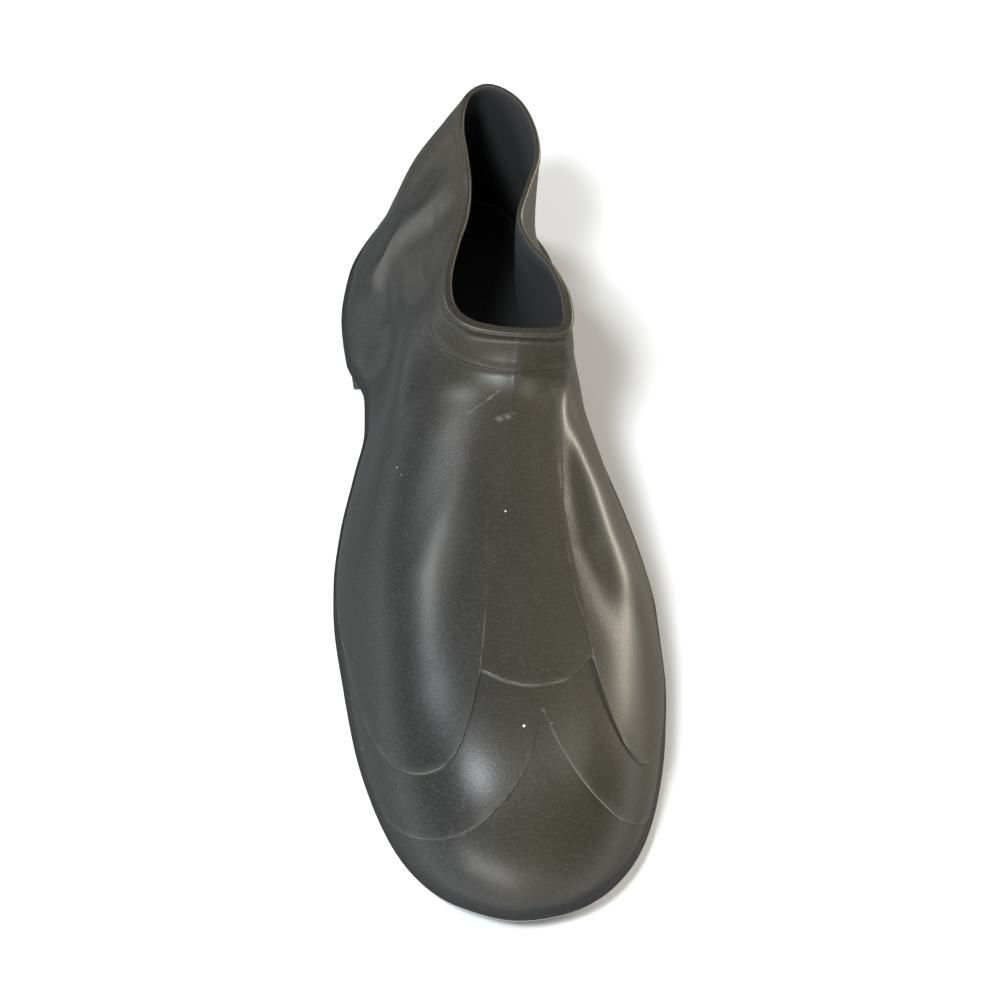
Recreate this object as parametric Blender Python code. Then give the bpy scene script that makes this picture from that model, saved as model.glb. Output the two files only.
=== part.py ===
"""Rubber overshoe, left foot: one hollow moulded upper and one moulded outsole.

Sizes are in millimetres and the model is built in metres: Z up, toe towards -Y, medial side
towards -X, origin on the floor under the middle. A station is a distance from the back of the
heel along the foot, written as a share of the length.
"""
import math

import bmesh
import bpy
import numpy as np

MM = 0.001

# Driving sizes
LENGTH = 314.5
BALL_WIDTH = 118.0
MIDDLE_X = 1.0
WALL = 2.0
GAP = 0.3
BASE_INSET = 0.6

# Heights over the floor
HEEL_HEIGHT = 20.0
TOE_HEIGHT = 58.0
INSTEP_HEIGHT = 79.5
COLLAR_BACK_HEIGHT = 97.0
COLLAR_FRONT_HEIGHT = 90.0

# Sole
HEEL_LENGTH = 80.0
SOLE_THICKNESS = 6.0
WAIST_THICKNESS = 4.5
TOE_SPRING = 9.0
RIM_LIP = 0.5
RIM_HEIGHT = 3.2
RIM_ROUND = 0.5
RIM_STEP = 0.4
SOLE_TAPER = 1.2
HEEL_TAPER = 1.6
GROOVE_WIDTH = 4.0
GROOVE_DEPTH = 2.0
HEEL_GROOVE_DEPTH = 3.5
TREAD_PITCH = 14.0
HEEL_PITCH = 17.0
TREAD_CURVE = 7.0
TREAD_FROM = 0.522
TREAD_TO = 0.886
BEND_BLEND = 0.05
HEEL_FIRST = 13.0
EDGE_WIDTH = 0.8

# Collar, cuff and moulded edges
COLLAR_BACK = 7.7
COLLAR_LENGTH = 112.3
COLLAR_WIDTH = 42.8
COLLAR_MIDDLE = 8.4
CUFF_WIDTH = 15.0
CUFF_STEP = 0.6
CUFF_SLOPE = 12.0
BEAD_HEIGHT = 3.2
BEAD = 1.6
LIP_SHARE = 0.6
CAP_STEP = 0.5
CENTRE_STEP = 0.5
LOBE_STEP = 0.9
PANEL_FADE = 110.0
PANEL_START = 3.5
WALL_BULGE = 8.0
BULGE_HEIGHT = 52.0
CROWN_LEAN = 9.0

# Mesh
COLUMNS = 76
CAP_ROWS = 5
LOBE_ROWS = 2
VAMP_ROWS = 10
INNER_ROWS = 10
BEAD_ROWS = 5
SOLE_COLUMNS = 6
SOLE_STATIONS = 42
DENSE = 120
FOOT_ROW = 2.5
CAP_PACE = 1.3

# station, medial half width, lateral half width as shares of the ball width
OUTLINE = (
    (0.000, 0.000, 0.000),
    (0.020, 0.191, 0.161),
    (0.060, 0.293, 0.232),
    (0.120, 0.375, 0.293),
    (0.200, 0.411, 0.300),
    (0.255, 0.403, 0.290),
    (0.305, 0.352, 0.310),
    (0.350, 0.358, 0.343),
    (0.405, 0.400, 0.390),
    (0.480, 0.457, 0.450),
    (0.550, 0.488, 0.489),
    (0.605, 0.495, 0.505),
    (0.690, 0.479, 0.505),
    (0.772, 0.455, 0.482),
    (0.855, 0.405, 0.432),
    (0.917, 0.340, 0.366),
    (0.964, 0.242, 0.269),
    (0.990, 0.119, 0.157),
    (1.000, 0.000, 0.000),
)

# station, heel lift of the plate, toe spring, and thickness: 0 for waist, 1 for full
SOLE = (
    (0.000, 1.000, 0.00, 0.00),
    (0.153, 0.948, 0.00, 0.00),
    (0.255, 0.903, 0.00, 0.00),
    (0.318, 0.755, 0.00, 0.00),
    (0.378, 0.535, 0.00, 0.00),
    (0.438, 0.277, 0.00, 0.13),
    (0.496, 0.065, 0.00, 0.87),
    (0.541, 0.000, 0.00, 1.00),
    (0.773, 0.000, 0.00, 1.00),
    (0.884, 0.000, 0.23, 0.87),
    (1.000, 0.000, 1.00, -0.60),
)

# station, climb of the crown from toe height to instep height, its lean to the lateral side,
# and the roundness across and upwards
SECTIONS = (
    (0.247, 1.58, 1.00, 1.7, 1.9),
    (0.381, 1.00, 1.00, 1.7, 1.9),
    (0.471, 0.74, 0.78, 1.9, 1.9),
    (0.597, 0.40, 0.44, 2.3, 2.0),
    (0.725, 0.14, 0.22, 2.6, 2.1),
    (0.813, 0.00, 0.00, 2.7, 2.1),
    (0.917, -0.10, 0.00, 2.6, 2.1),
    (1.000, -0.25, 0.00, 2.5, 2.1),
)
TOE_START = 0.782
TOE_ROUND = 2.4

# collar edge: offset over the collar width, way from its back over its length, 0 for the front
# height to 1 for the back height
COLLAR = (
    (0.000, 0.000, 1.00),
    (-0.150, 0.025, 0.98),
    (-0.230, 0.080, 0.93),
    (-0.272, 0.178, 0.84),
    (-0.255, 0.290, 0.74),
    (-0.250, 0.420, 0.61),
    (-0.302, 0.542, 0.49),
    (-0.400, 0.645, 0.39),
    (-0.490, 0.760, 0.27),
    (-0.508, 0.850, 0.15),
    (-0.460, 0.915, 0.08),
    (-0.325, 0.959, 0.03),
    (-0.100, 0.983, 0.00),
    (0.150, 0.995, 0.00),
    (0.380, 1.000, 0.00),
    (0.455, 0.985, 0.01),
    (0.490, 0.930, 0.04),
    (0.475, 0.840, 0.14),
    (0.405, 0.752, 0.25),
    (0.262, 0.667, 0.34),
    (0.190, 0.590, 0.43),
    (0.195, 0.530, 0.49),
    (0.300, 0.419, 0.61),
    (0.400, 0.310, 0.71),
    (0.395, 0.200, 0.82),
    (0.313, 0.096, 0.92),
    (0.175, 0.030, 0.98),
)

# side, station where a line leaves the sole, share round the collar where it ends
FAN = (
    (-1, 0.057, 0.055),
    (-1, 0.153, 0.155),
    (-1, 0.248, 0.255),
    (-1, 0.344, 0.345),
    (-1, 0.486, 0.405),
    (-1, 0.757, 0.455),
    (1, 0.757, 0.545),
    (1, 0.486, 0.600),
    (1, 0.344, 0.655),
    (1, 0.248, 0.740),
    (1, 0.153, 0.835),
    (1, 0.057, 0.935),
)

# side, station, lean of the quarter wall, share of the wall bulge
WALLS = (
    (0, 0.000, 0.60, 0.30),
    (-1, 0.025, 0.55, 0.35),
    (-1, 0.096, 0.60, 0.38),
    (-1, 0.159, 0.80, 0.69),
    (-1, 0.232, 0.90, 1.00),
    (-1, 0.359, 0.90, 0.38),
    (-1, 0.486, 0.60, 0.25),
    (-1, 0.693, 0.50, 0.19),
    (-1, 0.884, 0.50, 0.06),
    (1, 0.884, 0.50, 0.06),
    (1, 0.693, 0.30, 0.19),
    (1, 0.486, -0.40, 0.60),
    (1, 0.359, -1.90, 0.55),
    (1, 0.273, -1.90, 0.30),
    (1, 0.216, -2.00, 0.10),
    (1, 0.153, -2.60, 0.06),
    (1, 0.096, -3.40, 0.00),
    (1, 0.025, -1.00, 0.06),
)
VAMP_FROM = 0.263
VAMP_TO = 0.502
VAMP_PACE = 2.2
NEAR = 0.004

# share round the foot, toe cap edge as a share of the way up to the collar
CAP_LINE = (
    (0.3987, -0.010),
    (0.4173, 0.034),
    (0.4328, 0.068),
    (0.4525, 0.110),
    (0.4669, 0.144),
    (0.4793, 0.180),
    (0.4917, 0.227),
    (0.5000, 0.272),
    (0.5041, 0.316),
    (0.5083, 0.346),
    (0.5124, 0.319),
    (0.5207, 0.269),
    (0.5382, 0.186),
    (0.5537, 0.123),
    (0.5703, 0.068),
    (0.5827, 0.025),
    (0.5930, -0.010),
)

# the same for the lower edge of the side lobes and of the centre panel between them
LOBE_LINE = (
    (0.2623, 0.000),
    (0.3171, 0.060),
    (0.3553, 0.093),
    (0.3842, 0.118),
    (0.4039, 0.139),
    (0.4246, 0.169),
    (0.4411, 0.202),
    (0.4525, 0.236),
    (0.4587, 0.272),
    (0.4623, 0.322),
    (0.4664, 0.402),
    (0.4835, 0.394),
    (0.5041, 0.386),
    (0.5227, 0.386),
    (0.5496, 0.403),
    (0.5537, 0.345),
    (0.5579, 0.290),
    (0.5672, 0.219),
    (0.5827, 0.152),
    (0.6013, 0.110),
    (0.6168, 0.084),
    (0.6550, 0.040),
    (0.7067, 0.000),
)

# share round the foot, size of the collar bead and of the cuff step
BEAD_SIZE = (
    (0.00, 0.15),
    (0.10, 0.20),
    (0.17, 0.50),
    (0.22, 1.00),
    (0.76, 1.00),
    (0.82, 0.50),
    (0.88, 0.20),
    (1.00, 0.15),
)
CENTRE_PANEL = (0.4652, 0.5512)
CENTRE_EDGE = 0.0008
CLOSE_LINES = (0.4483, 0.4530, 0.4566, 0.4594, 0.4620, 0.5041, 0.5083, 0.5124, 0.5543, 0.5568, 0.5599, 0.5641, 0.5692)


def column(table, index):
    return np.array([row[index] for row in table], float)


def smooth(places, values, at):
    """Monotone cubic through the points of places and values."""
    step = np.diff(places)
    slope = np.diff(values) / step
    before = slope[:-1]
    after = slope[1:]
    same = before * after > 0
    first = 2 * step[1:] + step[:-1]
    second = step[1:] + 2 * step[:-1]
    safe_before = np.where(same, before, 1.0)
    safe_after = np.where(same, after, 1.0)
    rate = np.zeros(len(places))
    rate[1:-1] = np.where(same, (first + second) / (first / safe_before + second / safe_after), 0.0)
    rate[0] = slope[0]
    rate[-1] = slope[-1]
    at = np.clip(np.asarray(at, float), places[0], places[-1])
    piece = np.clip(np.searchsorted(places, at, side="right") - 1, 0, len(places) - 2)
    width = step[piece]
    t = (at - places[piece]) / width
    low = values[piece] * (1 + 2 * t) * (1 - t) ** 2 + rate[piece] * width * t * (1 - t) ** 2
    high = values[piece + 1] * t ** 2 * (3 - 2 * t) + rate[piece + 1] * width * t ** 2 * (t - 1)
    return low + high


def lookup(table, index, at):
    return smooth(column(table, 0), column(table, index), at)


def ease(low, high, value):
    t = np.clip((value - low) / (high - low), 0.0, 1.0)
    return t * t * (3 - 2 * t)


def turn(share):
    """Angle along the foot: 0 at the heel tip, pi at the toe tip."""
    return np.arccos(np.clip(1 - 2 * np.asarray(share, float), -1.0, 1.0))


def half_width(station, side):
    widths = column(OUTLINE, 1 if side < 0 else 2)
    return BALL_WIDTH * smooth(turn(column(OUTLINE, 0)), widths, turn(station / LENGTH))


def plate_under(station):
    """Underside of the sole plate, before the heel block is added."""
    share = station / LENGTH
    lift = HEEL_HEIGHT - WAIST_THICKNESS
    return lift * lookup(SOLE, 1, share) + TOE_SPRING * lookup(SOLE, 2, share)


def sole_top(station):
    full = lookup(SOLE, 3, station / LENGTH)
    thickness = WAIST_THICKNESS + (SOLE_THICKNESS - WAIST_THICKNESS) * full
    return plate_under(station) + thickness


def sole_under(station):
    return np.where(station < HEEL_LENGTH, 0.0, plate_under(station))


def arc_length(points):
    steps = np.linalg.norm(np.diff(points, axis=0), axis=1)
    return np.concatenate([[0.0], np.cumsum(steps)])


def along(points, distances):
    """Points of a polyline at the given distances from its start."""
    length = arc_length(points)
    return np.stack([np.interp(distances, length, axis) for axis in points.T], axis=1)


def foot_loop():
    """Closed edge of the upper in plan: heel tip, medial side, toe tip, lateral side."""
    angle = np.linspace(0.0, math.pi, 3 * DENSE + 1)
    station = LENGTH * (1 - np.cos(angle)) / 2
    medial = np.stack([-half_width(station, -1), station], axis=1)
    lateral = np.stack([half_width(station, 1), station], axis=1)
    loop = np.concatenate([medial, lateral[-2::-1]])
    shrink = np.array([1 - 2 * BASE_INSET / BALL_WIDTH, 1 - 2 * BASE_INSET / LENGTH])
    middle = np.array([0.0, LENGTH / 2])
    return middle + (loop - middle) * shrink


def collar_loop():
    """Closed collar edge as a dense polyline, from the back along the medial side."""
    points = np.stack([
        COLLAR_MIDDLE + COLLAR_WIDTH * column(COLLAR, 0),
        COLLAR_BACK + COLLAR_LENGTH * column(COLLAR, 1),
        COLLAR_FRONT_HEIGHT + (COLLAR_BACK_HEIGHT - COLLAR_FRONT_HEIGHT) * column(COLLAR, 2),
    ], axis=1)
    count = len(points)
    dense = []
    for i in range(count):
        a, b, c, d = (points[(i + k) % count] for k in (-1, 0, 1, 2))
        for t in np.linspace(0.0, 1.0, 12, endpoint=False):
            low = 2 * b + (c - a) * t + (2 * a - 5 * b + 4 * c - d) * t ** 2
            dense.append((low + (3 * b - a - 3 * c + d) * t ** 3) / 2)
    dense.append(points[0])
    return np.array(dense)


def share_of(loop, side, station):
    """Share round the foot loop of a station on one side."""
    length = arc_length(loop)
    tip = int(np.argmax(loop[:, 1]))
    if side < 0:
        place = np.interp(station, loop[:tip + 1, 1], length[:tip + 1])
    else:
        place = np.interp(station, loop[:tip - 1:-1, 1], length[:tip - 1:-1])
    return float(place) / length[-1]


def round_foot(loop, table):
    """Shares round the foot of a table's rows of side and station."""
    return np.array([share_of(loop, row[0], row[1] * LENGTH) if row[0] else 0.0 for row in table])


def vamp_height(x, station):
    """Height of the front of the upper over a place in plan."""
    scale_x = 1 - 2 * BASE_INSET / BALL_WIDTH
    scale_y = 1 - 2 * BASE_INSET / LENGTH
    outer = LENGTH / 2 + (station - LENGTH / 2) / scale_y
    share = outer / LENGTH
    crown = CROWN_LEAN * lookup(SECTIONS, 2, share)
    medial = half_width(outer, -1) * scale_x + crown
    lateral = half_width(outer, 1) * scale_x - crown
    reach = np.maximum(np.where(x < crown, medial, lateral), EDGE_WIDTH)
    across = np.clip(np.abs(x - crown) / reach, 0.0, 1.0)
    line = TOE_HEIGHT + (INSTEP_HEIGHT - TOE_HEIGHT) * lookup(SECTIONS, 1, share)
    toe = np.clip((share - TOE_START) / (1 - TOE_START), 0.0, 1.0)
    end = np.sqrt(1 - toe ** TOE_ROUND)
    base = sole_top(outer) + GAP
    arch = (1 - across ** lookup(SECTIONS, 3, share)) ** (1 / lookup(SECTIONS, 4, share))
    return base + (line - base) * end * arch


def wall_lean(rise, lean):
    """Share of the way in from the sole edge to the collar at a share of the height."""
    if lean >= 0:
        return rise ** (1 + lean)
    return 1 - (1 - rise) ** (1 - lean)


def line_shares():
    """Even shares round the foot, and closer ones at the edges of the moulded panels."""
    even = np.arange(COLUMNS) / COLUMNS
    pairs = [edge + side for edge in CENTRE_PANEL for side in (-CENTRE_EDGE, CENTRE_EDGE)]
    close = pairs + list(CLOSE_LINES)
    far = [share for share in even if min(abs(share - near) for near in close) > 3 * CENTRE_EDGE]
    return np.array(sorted(far + close))


def upper_lines():
    """Lines up the outside from the sole edge to the collar: shares, dense paths, plan normals.

    A share runs once round the foot, from the heel along the medial side, with 0.5 at the toe.
    """
    foot = foot_loop()
    foot_total = arc_length(foot)[-1]
    collar = collar_loop()
    collar_total = arc_length(collar)[-1]
    toe = share_of(foot, -1, LENGTH)
    half = len(FAN) // 2
    fan_from = round_foot(foot, FAN)
    fan_to = column(FAN, 2)
    keys = np.concatenate([[0.0], fan_from[:half], [toe], fan_from[half:], [1.0]])
    ends = np.concatenate([[0.0], fan_to[:half], [0.5], fan_to[half:], [1.0]])
    wall_keys = np.append(round_foot(foot, WALLS), 1.0)
    leans = np.append(column(WALLS, 2), WALLS[0][2])
    bulges = np.append(column(WALLS, 3), WALLS[0][3]) * WALL_BULGE

    shares = line_shares()
    lines = []
    outwards = []
    even = np.linspace(0.0, 1.0, DENSE)
    for share in (shares + toe - 0.5) % 1.0:
        start, ahead, behind = along(foot, np.array([share, share + NEAR, share - NEAR]) % 1.0 * foot_total)
        tangent = (ahead - behind) / np.linalg.norm(ahead - behind)
        outward = np.array([tangent[1], -tangent[0]])
        end = along(collar, [smooth(keys, ends, share) * collar_total])[0]
        base = sole_top(start[1]) + GAP

        wall = np.empty((DENSE, 3))
        inward = wall_lean(even, smooth(wall_keys, leans, share))
        wall[:, :2] = start + (end[:2] - start) * inward[:, None]
        wall[:, 2] = base + (end[2] - base) * even

        vamp = np.empty((DENSE, 3))
        vamp[:, :2] = start + (end[:2] - start) * (even ** VAMP_PACE)[:, None]
        vamp[:, 2] = vamp_height(vamp[:, 0], vamp[:, 1])
        vamp[0, 2] = base
        left = np.linalg.norm(end[:2] - vamp[:, :2], axis=1)
        vamp[:, 2] += (end[2] - vamp[-1, 2]) * np.clip(1 - left / CUFF_SLOPE, 0.0, 1.0)

        wall = along(wall, even * arc_length(wall)[-1])
        vamp = along(vamp, even * arc_length(vamp)[-1])
        line = wall + (vamp - wall) * ease(VAMP_FROM, VAMP_TO, start[1] / LENGTH)
        lift = np.clip((line[:, 2] - base) / BULGE_HEIGHT, 0.0, 1.0)
        bulge = smooth(wall_keys, bulges, share) * np.sin(math.pi * lift) ** 2
        line[:, :2] += outward * bulge[:, None]
        lines.append(line)
        outwards.append([outward[0], outward[1], 0.0])
    return shares, lines, np.array(outwards)


def panel_lines(share, total):
    """Distances of the toe cap edge and the lobe edge up a line, with how far each stands out."""
    low, high = CENTRE_PANEL
    centre = ease(low - CENTRE_EDGE, low + CENTRE_EDGE, share)
    centre *= 1 - ease(high - CENTRE_EDGE, high + CENTRE_EDGE, share)
    cap = lookup(CAP_LINE, 1, share) * total
    lobe = lookup(LOBE_LINE, 1, share) * total
    cap_step = CAP_STEP * ease(0.0, PANEL_START, cap)
    lobe_step = (LOBE_STEP + (CENTRE_STEP - LOBE_STEP) * centre) * ease(0.0, PANEL_START, lobe)
    cap = max(cap, PANEL_START + EDGE_WIDTH)
    lobe = max(lobe, cap + PANEL_START)
    return (cap, cap_step), (lobe, lobe_step)


def panel_step(share, distances, total):
    """How far the moulded panels stand out at distances up a line."""
    step = np.zeros(len(distances))
    for line, height in panel_lines(share, total):
        over = ease(-EDGE_WIDTH / 2, EDGE_WIDTH / 2, distances - line)
        step += height * over * np.exp(-np.maximum(distances - line, 0.0) / PANEL_FADE)
    return step


def bead_rows():
    """Distance from the collar edge and full outward step of the rows of bead and cuff."""
    rows = [(0.0, 0.0)]
    for k in range(1, BEAD_ROWS + 1):
        angle = math.pi * k / BEAD_ROWS
        height = BEAD_HEIGHT * (1 - math.cos(angle)) / 2
        rows.append((height, BEAD * math.sin(angle) + CUFF_STEP * k / BEAD_ROWS))
    rows.append(((BEAD_HEIGHT + CUFF_WIDTH) / 2, CUFF_STEP))
    rows.append((CUFF_WIDTH, CUFF_STEP))
    rows.append((CUFF_WIDTH + EDGE_WIDTH, 0.0))
    return rows[::-1]


def outer_distances(share, total):
    """Distances of the rows of one outer line from the sole edge."""
    cap, lobe = (line[0] for line in panel_lines(share, total))
    edge = total - np.array([row[0] for row in bead_rows()])
    pace = np.linspace(0.0, 1.0, CAP_ROWS + 1)[:-1] ** CAP_PACE
    half = EDGE_WIDTH / 2
    first = FOOT_ROW + (cap - half - FOOT_ROW) * pace
    second = np.linspace(cap + half, lobe - half, LOBE_ROWS + 2)
    third = np.linspace(lobe + half, edge[0], VAMP_ROWS + 2)[:-1]
    return np.concatenate([[0.0], first, [cap - half], second, third, edge])


def inner_distances(total):
    top = total - CUFF_WIDTH
    rows = np.linspace(FOOT_ROW, top, INNER_ROWS)
    return np.concatenate([[0.0], rows, [total - BEAD_HEIGHT, total - BEAD_HEIGHT / 4]])


def normals_of(grid, outwards):
    """Outward normals of a grid of rows and closed columns; level at the sole edge."""
    around = np.roll(grid, -1, axis=1) - np.roll(grid, 1, axis=1)
    upward = np.gradient(grid, axis=0)
    cross = np.cross(upward, around)
    cross /= np.linalg.norm(cross, axis=2, keepdims=True)
    cross[0] = outwards
    return cross


def to_world(points):
    """From x, station and height in millimetres to metres, with the toe towards -Y."""
    x = points[..., 0] - MIDDLE_X
    y = LENGTH / 2 - points[..., 1]
    return np.stack([x, y, points[..., 2]], axis=-1) * MM


def add_body(name, vertices, faces, material):
    """A closed mesh object with its faces turned outwards."""
    mesh = bpy.data.meshes.new(name)
    mesh.from_pydata([tuple(map(float, place)) for place in vertices], [], faces)
    work = bmesh.new()
    work.from_mesh(mesh)
    bmesh.ops.recalc_face_normals(work, faces=work.faces)
    if work.calc_volume(signed=True) < 0:
        bmesh.ops.reverse_faces(work, faces=work.faces)
    work.to_mesh(mesh)
    work.free()
    mesh.materials.append(material)
    body = bpy.data.objects.new(name, mesh)
    bpy.context.scene.collection.objects.link(body)
    return body


def ring_faces(rings, count, closed):
    """Quads between neighbouring rings of count points each."""
    faces = []
    for row in range(rings if closed else rings - 1):
        after = (row + 1) % rings
        for i in range(count):
            j = (i + 1) % count
            faces.append((row * count + i, row * count + j, after * count + j, after * count + i))
    return faces


def build_upper(material):
    shares, lines, outwards = upper_lines()
    outer_rows = []
    inner_rows = []
    steps = []
    edge_steps = np.array([row[1] for row in bead_rows()])
    for share, line in zip(shares, lines):
        total = arc_length(line)[-1]
        distances = outer_distances(share, total)
        step = panel_step(share, distances, total)
        step[-len(edge_steps):] += edge_steps * lookup(BEAD_SIZE, 1, share)
        steps.append(step)
        outer_rows.append(along(line, distances))
        inner_rows.append(along(line, inner_distances(total)))
    outer = np.stack(outer_rows, axis=1)
    inner = np.stack(inner_rows, axis=1)
    outer_normals = normals_of(outer, outwards)
    inner_normals = normals_of(inner, outwards)
    skin = outer + outer_normals * np.stack(steps, axis=1)[..., None]
    lining = inner - inner_normals * WALL
    lip = outer[-1] - outer_normals[-1] * WALL * LIP_SHARE
    rings = np.concatenate([skin, lip[None], lining[::-1]])
    faces = ring_faces(len(rings), len(shares), True)
    return add_body("upper", to_world(rings).reshape(-1, 3), faces, material)


def groove_centres():
    """Tread grooves as station and depth, over the heel and over the forefoot."""
    heel = np.arange(HEEL_FIRST, HEEL_LENGTH - HEEL_PITCH / 2, HEEL_PITCH)
    tread = np.arange(TREAD_FROM * LENGTH, TREAD_TO * LENGTH, TREAD_PITCH)
    return [(place, HEEL_GROOVE_DEPTH) for place in heel] + [(place, GROOVE_DEPTH) for place in tread]


def sole_stations():
    """Even stations, with pairs at every groove side and at the heel breast."""
    half = EDGE_WIDTH / 2
    exact = [HEEL_LENGTH - half, HEEL_LENGTH + half]
    for centre, depth in groove_centres():
        for side in (centre - GROOVE_WIDTH / 2, centre + GROOVE_WIDTH / 2):
            exact += [side - half, side + half]
    angles = np.linspace(0.0, math.pi, SOLE_STATIONS)[1:-1]
    even = LENGTH * (1 - np.cos(angles)) / 2
    kept = [place for place in even if min(abs(place - near) for near in exact) > EDGE_WIDTH]
    return np.array(sorted(kept + exact))


def tread_height(stations):
    height = sole_under(stations)
    for centre, depth in groove_centres():
        height = np.where(np.abs(stations - centre) < GROOVE_WIDTH / 2, height + depth, height)
    return height


def sole_edge(stations):
    """Closed plan line of the sole with outward normals: heel tip, medial, toe tip, lateral."""
    count = len(stations)
    line = np.concatenate([[0.0], stations, [LENGTH], stations[::-1]])
    side = np.concatenate([[0.0], np.full(count, -1.0), [0.0], np.full(count, 1.0)])
    width = np.where(side < 0, half_width(line, -1), half_width(line, 1))
    plan = np.stack([side * width, line], axis=1)
    low = np.clip(line - EDGE_WIDTH, 0.0, LENGTH)
    high = np.clip(line + EDGE_WIDTH, 0.0, LENGTH)
    medial = half_width(high, -1) - half_width(low, -1)
    lateral = half_width(high, 1) - half_width(low, 1)
    widening = np.where(side < 0, medial, lateral)
    normal = np.stack([side * (high - low), -widening], axis=1)
    normal[0] = (0.0, -1.0)
    normal[count + 1] = (0.0, 1.0)
    return line, plan, normal / np.linalg.norm(normal, axis=1, keepdims=True)


def tread_bend(place, width):
    """How far the tread bars curve forwards across the sole."""
    share = place / LENGTH
    reach = TREAD_CURVE * min(1.0, width / BALL_WIDTH)
    front = ease(TREAD_FROM - 2 * BEND_BLEND, TREAD_FROM, share)
    front *= 1 - ease(TREAD_TO - BEND_BLEND, TREAD_TO + BEND_BLEND / 2, share)
    breast = HEEL_LENGTH / LENGTH
    heel = ease(0.0, breast, share) * (1 - ease(breast, breast + BEND_BLEND, share))
    return reach * (front - heel / 2)


def build_outsole(material):
    stations = sole_stations()
    count = len(stations)
    line, plan, normal = sole_edge(stations)
    points = len(line)
    top = sole_top(line)
    taper = np.where(line < HEEL_LENGTH, HEEL_TAPER, SOLE_TAPER)
    levels = (
        (0.0, top),
        (RIM_LIP, top - RIM_ROUND),
        (RIM_LIP, top - RIM_HEIGHT + RIM_ROUND),
        (-RIM_STEP, top - RIM_HEIGHT),
        (-taper, tread_height(line)),
    )
    rings = []
    for offset, height in levels:
        place = plan + normal * np.broadcast_to(offset, points)[:, None]
        rings.append(np.column_stack([place, height]))
    vertices = list(np.concatenate(rings))
    faces = ring_faces(len(levels), points, False)

    medial = np.arange(1, count + 1)
    lateral = np.arange(points - 1, count + 1, -1)
    for a, b, c, d in zip(medial, lateral, lateral[1:], medial[1:]):
        faces.append((int(a), int(b), int(c), int(d)))
    faces.append((0, int(lateral[0]), int(medial[0])))
    faces.append((count + 1, int(medial[-1]), int(lateral[-1])))

    base = (len(levels) - 1) * points
    rows = []
    for left, right in zip(medial + base, lateral + base):
        start = vertices[left]
        across = vertices[right] - start
        bend = tread_bend(start[1], across[0])
        row = [int(left)]
        for cell in range(1, SOLE_COLUMNS):
            t = cell / SOLE_COLUMNS
            row.append(len(vertices))
            vertices.append(start + across * t + np.array([0.0, 4 * t * (1 - t) * bend, 0.0]))
        rows.append(row + [int(right)])
    for row, after in zip(rows, rows[1:]):
        for cell in range(SOLE_COLUMNS):
            faces.append((row[cell], row[cell + 1], after[cell + 1], after[cell]))
    for cell in range(SOLE_COLUMNS):
        faces.append((base, rows[0][cell + 1], rows[0][cell]))
        faces.append((base + count + 1, rows[-1][cell], rows[-1][cell + 1]))
    return add_body("outsole", to_world(np.array(vertices)), faces, material)


def main():
    for existing in list(bpy.data.objects):
        bpy.data.objects.remove(existing, do_unlink=True)
    rubber = bpy.data.materials.new("rubber")
    build_upper(rubber)
    build_outsole(rubber)


main()
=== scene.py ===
"""Looks of the rubber overshoe: fine upper and outsole, rubber materials, floor, lights and camera.

Sizes are in millimetres and pieces are built in metres: Z up, toe towards -Y, medial side towards
-X. A station is a distance from the back of the heel along the foot.
"""
import math

import bmesh
import bpy
import numpy as np
from mathutils import Matrix, Vector

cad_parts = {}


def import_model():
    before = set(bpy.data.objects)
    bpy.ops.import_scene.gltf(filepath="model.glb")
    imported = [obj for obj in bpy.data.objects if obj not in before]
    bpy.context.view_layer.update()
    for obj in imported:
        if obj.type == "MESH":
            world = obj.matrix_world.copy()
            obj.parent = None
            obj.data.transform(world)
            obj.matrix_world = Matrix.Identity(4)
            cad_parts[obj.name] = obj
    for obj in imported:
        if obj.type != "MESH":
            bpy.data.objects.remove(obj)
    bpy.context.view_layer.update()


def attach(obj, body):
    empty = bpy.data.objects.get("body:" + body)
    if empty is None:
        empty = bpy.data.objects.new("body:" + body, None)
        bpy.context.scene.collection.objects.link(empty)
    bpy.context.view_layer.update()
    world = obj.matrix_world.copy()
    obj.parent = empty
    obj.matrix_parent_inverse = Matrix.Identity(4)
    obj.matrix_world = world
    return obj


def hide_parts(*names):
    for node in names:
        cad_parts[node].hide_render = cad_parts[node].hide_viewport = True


MM = 0.001

# Driving sizes
LENGTH = 314.5
BALL_WIDTH = 118.0
MIDDLE_X = 1.0
WALL = 2.0
GAP = 0.3
BASE_INSET = 0.6

# Heights over the floor
HEEL_HEIGHT = 20.0
TOE_HEIGHT = 58.0
INSTEP_HEIGHT = 79.5
COLLAR_BACK_HEIGHT = 97.0
COLLAR_FRONT_HEIGHT = 90.0

# Sole
HEEL_LENGTH = 80.0
SOLE_THICKNESS = 6.0
WAIST_THICKNESS = 4.5
TOE_SPRING = 9.0
RIM_LIP = 0.5
RIM_HEIGHT = 3.2
RIM_STEP = 0.4
SOLE_TAPER = 1.2
HEEL_TAPER = 1.6
GROOVE_WIDTH = 4.0
GROOVE_DEPTH = 2.0
HEEL_GROOVE_DEPTH = 3.5
TREAD_PITCH = 14.0
HEEL_PITCH = 17.0
TREAD_CURVE = 7.0
TREAD_FROM = 0.522
TREAD_TO = 0.886
BEND_BLEND = 0.05
HEEL_FIRST = 13.0
EDGE_WIDTH = 0.8

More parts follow.
